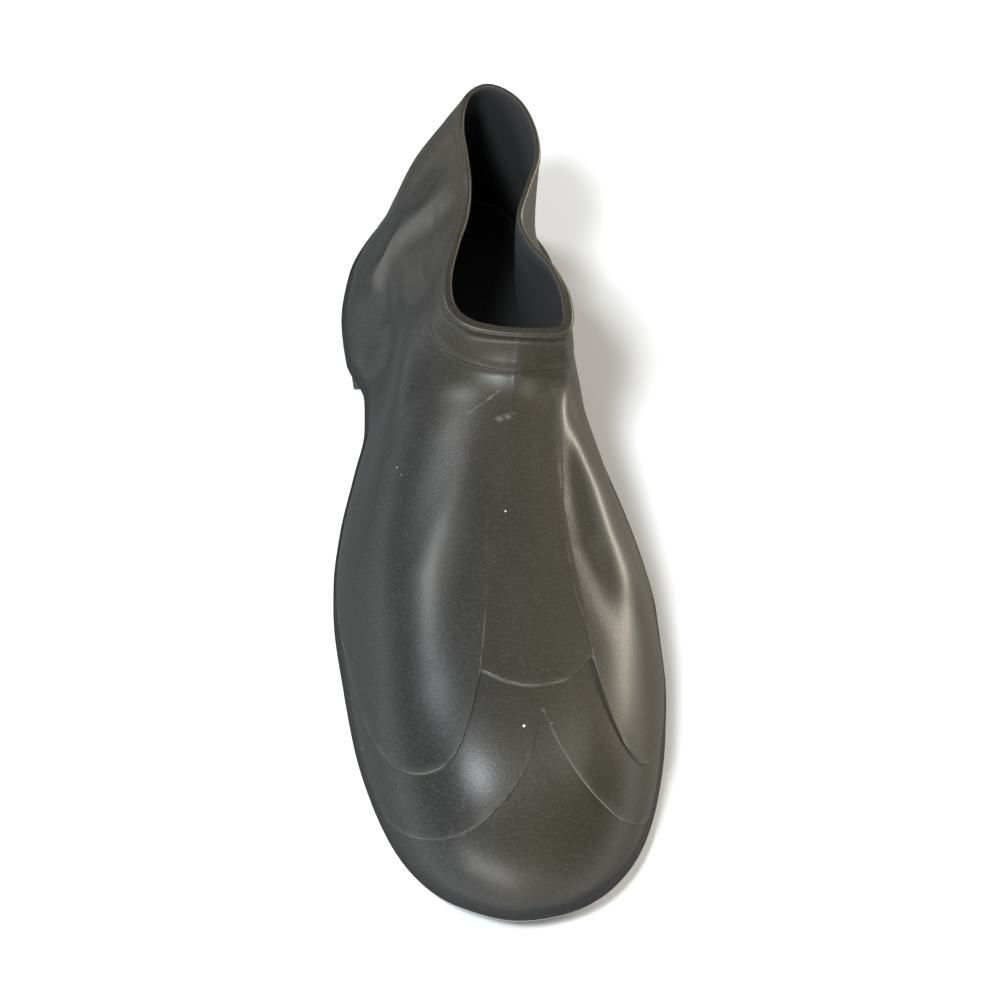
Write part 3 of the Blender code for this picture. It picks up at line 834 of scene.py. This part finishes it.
def build_fine_upper(material):
    shares, lines, outwards = upper_lines()
    bead = fine_bead()
    bead_heights = column(bead, 0)
    bead_steps = column(bead, 1)
    outer_rows = []
    inner_rows = []
    steps = []
    edges = []
    dark_and_cuff_shadows = []
    for share, line in zip(shares, lines):
        total = arc_length(line)[-1]
        distances = np.concatenate([fine_distances(share, total), total - bead_heights])
        step, edge = panel_relief(share, distances, total)
        step[-len(bead):] += bead_steps * lookup(BEAD_SIZE, 1, share)
        edge[-len(bead):] = 0.0
        # Rows at the foot of the upper are darker; the rows under the cuff carry a painted shadow
        # line.
        dark_and_cuff_shadow = np.exp(-(np.arange(len(step)) / FOOT_DARK_ROWS) ** 2)
        dark_and_cuff_shadow[-len(bead):][1:3] = CUFF_SHADOW * lookup(BEAD_SIZE, 1, share)
        dark_and_cuff_shadows.append(dark_and_cuff_shadow)
        steps.append(step)
        edges.append(edge)
        outer_rows.append(along(line, distances))
        inner = np.linspace(0.0, total - BEAD_HEIGHT / 3, INNER_FINE)
        inner_rows.append(along(line, inner))
    outer = np.stack(outer_rows, axis=1)
    inner = np.stack(inner_rows, axis=1)
    outer_normals = normals_of(outer, outwards)
    inner_normals = normals_of(inner, outwards)
    lift = crease_lift(outer.reshape(-1, 3)).reshape(outer.shape[:2])
    inner_lift = crease_lift(inner.reshape(-1, 3)).reshape(inner.shape[:2])
    skin = outer + outer_normals * (np.stack(steps, axis=1) + lift)[..., None]
    lining = inner + inner_normals * (inner_lift - WALL)[..., None]
    lips = []
    for k in range(1, LIP_ROWS + 1):
        angle = math.pi * k / (LIP_ROWS + 1)
        inward = outer_normals[-1] * WALL * (1 - math.cos(angle)) / 2
        lips.append(outer[-1] - inward + np.array([0.0, 0.0, LIP_RISE * math.sin(angle)]))
    rings = np.concatenate([skin, np.array(lips), lining[::-1]])
    count = len(shares)
    faces = ring_faces(len(rings), count, True)
    body = add_body("overshoe_upper", to_world(rings).reshape(-1, 3), faces, material)
    inside = np.zeros((len(rings), count))
    inside[len(skin) + LIP_ROWS - 1:] = 1.0
    add_value(body.data, "moulded_edge", on_skin(np.stack(edges, axis=1), inside))
    add_value(body.data, "inside", inside)
    add_value(body.data, "dark_foot_cuff_shadow", on_skin(np.stack(dark_and_cuff_shadows, axis=1), inside))
    add_value(body.data, "fold", on_skin(np.clip(lift / FOLD_FULL, -1.0, 1.0), inside))
    body.data.shade_smooth()
    return body


def build_fine_outsole(material):
    stations = sole_stations()
    count = len(stations)
    line, plan, normal = sole_edge(stations)
    points = len(line)
    top = sole_top(line)
    taper = np.where(line < HEEL_LENGTH, HEEL_TAPER, SOLE_TAPER)
    low = tread_height(line)
    levels = [(0.0, top)]
    for k in range(RIM_ARC + 1):
        angle = math.pi * k / RIM_ARC
        out = RIM_LIP * (RIM_START + (1 - RIM_START) * math.sin(angle))
        levels.append((out, top - RIM_HEIGHT * (1 - math.cos(angle)) / 2))
    step = top - RIM_HEIGHT
    levels.append((-RIM_STEP, step - SEAT_STEP))
    for share in SOLE_WALL_LEVELS:
        levels.append((-RIM_STEP - (taper - RIM_STEP) * share, step + (low - step) * share))
    levels.append((-taper - UNDER_STEP, low))
    rings = []
    for offset, height in levels:
        place = plan + normal * np.broadcast_to(offset, points)[:, None]
        rings.append(np.column_stack([place, height]))
    vertices = list(np.concatenate(rings))
    faces = ring_faces(len(levels), points, False)
    medial = np.arange(1, count + 1)
    lateral = np.arange(points - 1, count + 1, -1)
    for a, b, c, d in zip(medial, lateral, lateral[1:], medial[1:]):
        faces.append((int(a), int(b), int(c), int(d)))
    faces.append((0, int(lateral[0]), int(medial[0])))
    faces.append((count + 1, int(medial[-1]), int(lateral[-1])))
    base = (len(levels) - 1) * points
    rows = []
    for left, right in zip(medial + base, lateral + base):
        start = vertices[left]
        across = vertices[right] - start
        bend = tread_bend(start[1], across[0])
        row = [int(left)]
        for cell in range(1, SOLE_COLUMNS):
            t = cell / SOLE_COLUMNS
            row.append(len(vertices))
            vertices.append(start + across * t + np.array([0.0, 4 * t * (1 - t) * bend, 0.0]))
        rows.append(row + [int(right)])
    for row, after in zip(rows, rows[1:]):
        for cell in range(SOLE_COLUMNS):
            faces.append((row[cell], row[cell + 1], after[cell + 1], after[cell]))
    for cell in range(SOLE_COLUMNS):
        faces.append((base, rows[0][cell + 1], rows[0][cell]))
        faces.append((base + count + 1, rows[-1][cell], rows[-1][cell + 1]))
    body = add_body("overshoe_sole", to_world(np.array(vertices)), faces, material)
    # Painted light on the sole rim towards the toe, lifting the shade of its downward-facing side.
    rim_light = np.zeros(len(vertices))
    rim_light[points:RIM_LEVELS * points] = np.tile(ease(*RIM_LIGHT_SPAN, line / LENGTH), RIM_LEVELS - 1)
    inside = np.zeros(len(vertices))
    inside[:points] = 1.0
    add_value(body.data, "painted_rim_light", rim_light)
    add_value(body.data, "inside", inside)
    body.data.shade_smooth()
    body.data.set_sharp_from_angle(angle=math.radians(SOLE_SHARP))
    return body


class Nodes:
    """Short calls for building a material's nodes."""

    def __init__(self, name):
        self.material = bpy.data.materials.new(name)
        self.material.use_nodes = True
        self.tree = self.material.node_tree
        self.shader = self.tree.nodes["Principled BSDF"]
        self.place = self.tree.nodes.new("ShaderNodeTexCoord").outputs["Object"]

    def plug(self, socket, value):
        if isinstance(value, bpy.types.NodeSocket):
            self.tree.links.new(value, socket)
        else:
            socket.default_value = value

    def noise(self, scale, detail=4.0, rough=0.5, stretch=None):
        place = self.place
        if stretch:
            mapping = self.tree.nodes.new("ShaderNodeMapping")
            mapping.inputs["Scale"].default_value = stretch
            self.plug(mapping.inputs["Vector"], place)
            place = mapping.outputs["Vector"]
        node = self.tree.nodes.new("ShaderNodeTexNoise")
        self.plug(node.inputs["Vector"], place)
        node.inputs["Scale"].default_value = scale
        node.inputs["Detail"].default_value = detail
        node.inputs["Roughness"].default_value = rough
        return node.outputs["Fac"]

    def span(self, value, low, high, out_low=0.0, out_high=1.0):
        node = self.tree.nodes.new("ShaderNodeMapRange")
        node.interpolation_type = "SMOOTHSTEP"
        names = ("Value", "From Min", "From Max", "To Min", "To Max")
        for name, item in zip(names, (value, low, high, out_low, out_high)):
            self.plug(node.inputs[name], item)
        return node.outputs["Result"]

    def math(self, kind, a, b=0.0):
        node = self.tree.nodes.new("ShaderNodeMath")
        node.operation = kind
        self.plug(node.inputs[0], a)
        self.plug(node.inputs[1], b)
        return node.outputs[0]

    def mix(self, share, a, b):
        node = self.tree.nodes.new("ShaderNodeMix")
        node.data_type = "RGBA"
        self.plug(node.inputs[0], share)
        self.plug(node.inputs[6], a)
        self.plug(node.inputs[7], b)
        return node.outputs[2]

    def value(self, name):
        node = self.tree.nodes.new("ShaderNodeAttribute")
        node.attribute_name = name
        return node.outputs["Fac"]

    def bump(self, height, distance, strength=1.0, normal=None):
        node = self.tree.nodes.new("ShaderNodeBump")
        self.plug(node.inputs["Height"], height)
        node.inputs["Distance"].default_value = distance
        node.inputs["Strength"].default_value = strength
        if normal:
            self.plug(node.inputs["Normal"], normal)
        return node.outputs["Normal"]

    def facing(self):
        """0 where the surface faces the view and 1 at its outline."""
        node = self.tree.nodes.new("ShaderNodeLayerWeight")
        node.inputs["Blend"].default_value = 0.5
        return node.outputs["Facing"]

    def across(self):
        """Distance in metres to the lateral side of the middle."""
        node = self.tree.nodes.new("ShaderNodeSeparateXYZ")
        self.plug(node.inputs[0], self.place)
        return node.outputs["X"]

    def near(self, centre, radius, core=0.6):
        """1 within a share of the radius of a place in metres, 0 beyond it."""
        node = self.tree.nodes.new("ShaderNodeVectorMath")
        node.operation = "DISTANCE"
        self.plug(node.inputs[0], self.place)
        node.inputs[1].default_value = centre
        return self.span(node.outputs["Value"], radius, radius * core)


def mark_place(x, station, height):
    """A place in metres from shares of ball width, length and collar height."""
    return to_world(np.array([x * BALL_WIDTH, station * LENGTH, height * COLLAR_BACK_HEIGHT])).tolist()


def speck_mask(nodes):
    total = 0.0
    for x, station, height, radius, strength in SPECKS:
        spot = nodes.near(mark_place(x, station, height), radius * MM)
        total = nodes.math("ADD", nodes.math("MULTIPLY", spot, strength), total)
    return total


def scuff_mask(nodes):
    """Chains of soft spots along each scuff, broken up by noise."""
    total = 0.0
    for x, station, height, far_x, far_station, far_height, width, strength in SCUFFS:
        start = np.array(mark_place(x, station, height))
        end = np.array(mark_place(far_x, far_station, far_height))
        for t in np.linspace(0.0, 1.0, SCUFF_SPOTS):
            spot = nodes.near((start + (end - start) * t).tolist(), width * MM, 0.1)
            total = nodes.math("MAXIMUM", nodes.math("MULTIPLY", spot, strength), total)
    broken = nodes.span(nodes.noise(500.0, 4.0), 0.3, 0.6)
    return nodes.math("MULTIPLY", total, broken)


def rubber_look():
    nodes = Nodes("rubber_satin")
    olive = (0.0235, 0.0203, 0.0138, 1.0)
    charcoal_medial_shade = (0.012, 0.0124, 0.012, 1.0)
    dust = (0.052, 0.050, 0.044, 1.0)
    pale = (0.55, 0.54, 0.50, 1.0)
    edge_wear_sheen_tone = (0.13, 0.125, 0.11, 1.0)
    dark_and_shade = (0.006, 0.006, 0.006, 1.0)
    lining = (0.022, 0.022, 0.022, 1.0)
    # Cooler, darker charcoal on the medial side: partly the rubber's own tone, partly painted shade
    # and a painted cool tint of light.
    drift = nodes.span(nodes.noise(9.0, 1.0), 0.3, 0.7, -0.008, 0.008)
    sides = nodes.math("ADD", nodes.across(), drift)
    tone = nodes.mix(nodes.span(sides, -0.035, 0.005), charcoal_medial_shade, olive)
    blotch = nodes.span(nodes.noise(30.0, 5.0, 0.6), 0.45, 0.75, 0.0, 0.04)
    tone = nodes.mix(blotch, tone, dust)
    grain = nodes.span(nodes.noise(900.0, 5.0, 0.7), 0.46, 0.74, 0.0, 0.45)
    tone = nodes.mix(grain, tone, dust)
    streak = nodes.span(nodes.noise(60.0, 4.0, 0.5, (1.0, 0.12, 1.0)), 0.55, 0.8, 0.0, 0.07)
    tone = nodes.mix(streak, tone, dust)
    # Painted highlight on the fold ridges, in the dust colour, and painted shade in the fold troughs.
    tone = nodes.mix(nodes.span(nodes.value("fold"), 0.1, 0.9), tone, dust)
    tone = nodes.mix(nodes.span(nodes.value("fold"), -0.1, -1.0, 0.0, 0.7), tone, dark_and_shade)
    # Lighter line along the moulded edges: partly wear, partly a painted highlight where the raised
    # step catches light.
    edge_wear_breakup = nodes.span(nodes.noise(120.0, 3.0), 0.35, 0.65, 0.15, 0.6)
    edge_wear_sheen = nodes.math("MULTIPLY", nodes.value("moulded_edge"), edge_wear_breakup)
    tone = nodes.mix(edge_wear_sheen, tone, edge_wear_sheen_tone)
    # Darker along the foot of the upper, and a painted shadow under the cuff step.
    tone = nodes.mix(nodes.value("dark_foot_cuff_shadow"), tone, dark_and_shade)
    tone = nodes.mix(scuff_mask(nodes), tone, pale)
    tone = nodes.mix(speck_mask(nodes), tone, pale)
    tone = nodes.mix(nodes.value("inside"), tone, lining)
    nodes.plug(nodes.shader.inputs["Base Color"], tone)
    rough = nodes.span(nodes.noise(22.0, 1.0), 0.3, 0.7, 0.37, 0.385)
    rough = nodes.math("ADD", rough, nodes.span(nodes.facing(), 0.36, 0.68, 0.0, 0.45))
    rough = nodes.math("ADD", rough, nodes.math("MULTIPLY", nodes.value("inside"), 0.4))
    nodes.plug(nodes.shader.inputs["Roughness"], rough)
    nodes.shader.inputs["IOR"].default_value = 1.34
    broad = nodes.bump(nodes.noise(16.0, 1.0), 0.0002, 0.25)
    fine = nodes.bump(nodes.noise(1100.0, 3.0, 0.6), 0.00010, 0.5, broad)
    nodes.plug(nodes.shader.inputs["Normal"], fine)
    return nodes.material


def sole_look():
    nodes = Nodes("rubber_sole")
    dark = (0.020, 0.019, 0.017, 1.0)
    dust = (0.050, 0.048, 0.043, 1.0)
    rim_light = (0.170, 0.164, 0.148, 1.0)
    lining = (0.016, 0.016, 0.016, 1.0)
    tone = nodes.mix(nodes.span(nodes.noise(30.0, 5.0, 0.6), 0.45, 0.75, 0.0, 0.4), dark, dust)
    tone = nodes.mix(nodes.span(nodes.noise(900.0, 3.0, 0.6), 0.5, 0.75, 0.0, 0.25), tone, dust)
    # Painted light on the sole rim towards the toe.
    tone = nodes.mix(nodes.value("painted_rim_light"), tone, rim_light)
    tone = nodes.mix(nodes.value("inside"), tone, lining)
    nodes.plug(nodes.shader.inputs["Base Color"], tone)
    rough = nodes.span(nodes.noise(25.0, 4.0), 0.3, 0.7, 0.42, 0.56)
    nodes.plug(nodes.shader.inputs["Roughness"], rough)
    broad = nodes.bump(nodes.noise(60.0, 2.0), 0.0003, 0.3)
    fine = nodes.bump(nodes.noise(700.0, 3.0, 0.6), 0.0002, 0.5, broad)
    nodes.plug(nodes.shader.inputs["Normal"], fine)
    return nodes.material


def floor_look():
    nodes = Nodes("floor_pale")
    dull = (0.70, 0.70, 0.70, 1.0)
    clean = (0.73, 0.73, 0.73, 1.0)
    tone = nodes.mix(nodes.span(nodes.noise(3.0, 2.0), 0.3, 0.7), dull, clean)
    nodes.plug(nodes.shader.inputs["Base Color"], tone)
    nodes.shader.inputs["Roughness"].default_value = 0.9
    return nodes.material


def add_floor():
    mesh = bpy.data.meshes.new("floor")
    half = FLOOR_HALF
    corners = [(-half, -half, 0.0), (half, -half, 0.0), (half, half, 0.0), (-half, half, 0.0)]
    mesh.from_pydata(corners, [], [(0, 1, 2, 3)])
    mesh.materials.append(floor_look())
    floor = bpy.data.objects.new("floor", mesh)
    bpy.context.scene.collection.objects.link(floor)


def add_light(name, place, aim, size, power, colour):
    light = bpy.data.lights.new(name, "AREA")
    light.shape = "RECTANGLE"
    light.size = size[0]
    light.size_y = size[1]
    light.energy = power
    light.color = colour
    lamp = bpy.data.objects.new(name, light)
    lamp.location = place
    lamp.rotation_euler = (Vector(aim) - Vector(place)).to_track_quat("-Z", "Y").to_euler()
    bpy.context.scene.collection.objects.link(lamp)


def add_lights():
    """Soft boxes: place, aim, size, power and colour."""
    centre = (0.0, 0.0, 0.04)
    add_light("window_left", (-1.00, 0.50, 1.05), centre, (0.4, 0.5), 14.0, (0.92, 0.97, 1.0))
    add_light("window_top", (-0.50, -0.50, 1.33), centre, (0.3, 0.3), 28.0, (0.90, 0.96, 1.0))
    add_light("warm_back", (1.35, 0.78, 0.16), centre, (1.0, 0.26), 34.0, (1.0, 0.92, 0.78))
    add_light("warm_top", (0.75, -0.20, 1.25), centre, (0.6, 0.6), 7.5, (1.0, 0.95, 0.86))
    add_light("front_low", (-0.55, -1.5, 0.16), centre, (1.2, 0.26), 22.0, (1.0, 1.0, 1.0))
    world = bpy.data.worlds.new("studio")
    world.use_nodes = True
    glow = world.node_tree.nodes["Background"]
    glow.inputs["Color"].default_value = (1.0, 1.0, 1.0, 1.0)
    glow.inputs["Strength"].default_value = WORLD_GLOW
    bpy.context.scene.world = world


def add_camera():
    camera = bpy.data.cameras.new("camera")
    camera.lens = CAMERA_LENS
    camera.sensor_fit = "HORIZONTAL"
    camera.sensor_width = 36.0
    camera.clip_start = 0.01
    holder = bpy.data.objects.new("camera", camera)
    place = Vector(CAMERA_PLACE)
    turn_to = (Vector(CAMERA_AIM) - place).to_track_quat("-Z", "Y").to_matrix()
    roll = Matrix.Rotation(math.radians(CAMERA_ROLL), 3, "Z")
    holder.matrix_world = Matrix.Translation(place) @ (turn_to @ roll).to_4x4()
    bpy.context.scene.collection.objects.link(holder)
    bpy.context.scene.camera = holder


def main():
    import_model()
    add_camera()
    upper = build_fine_upper(rubber_look())
    outsole = build_fine_outsole(sole_look())
    for piece, node, slot in ((upper, "upper", "rubber"), (outsole, "outsole", "sole_rubber")):
        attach(piece, "root")
        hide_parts(node)
    add_floor()
    add_lights()
    bpy.context.scene.view_settings.view_transform = "Standard"


main()
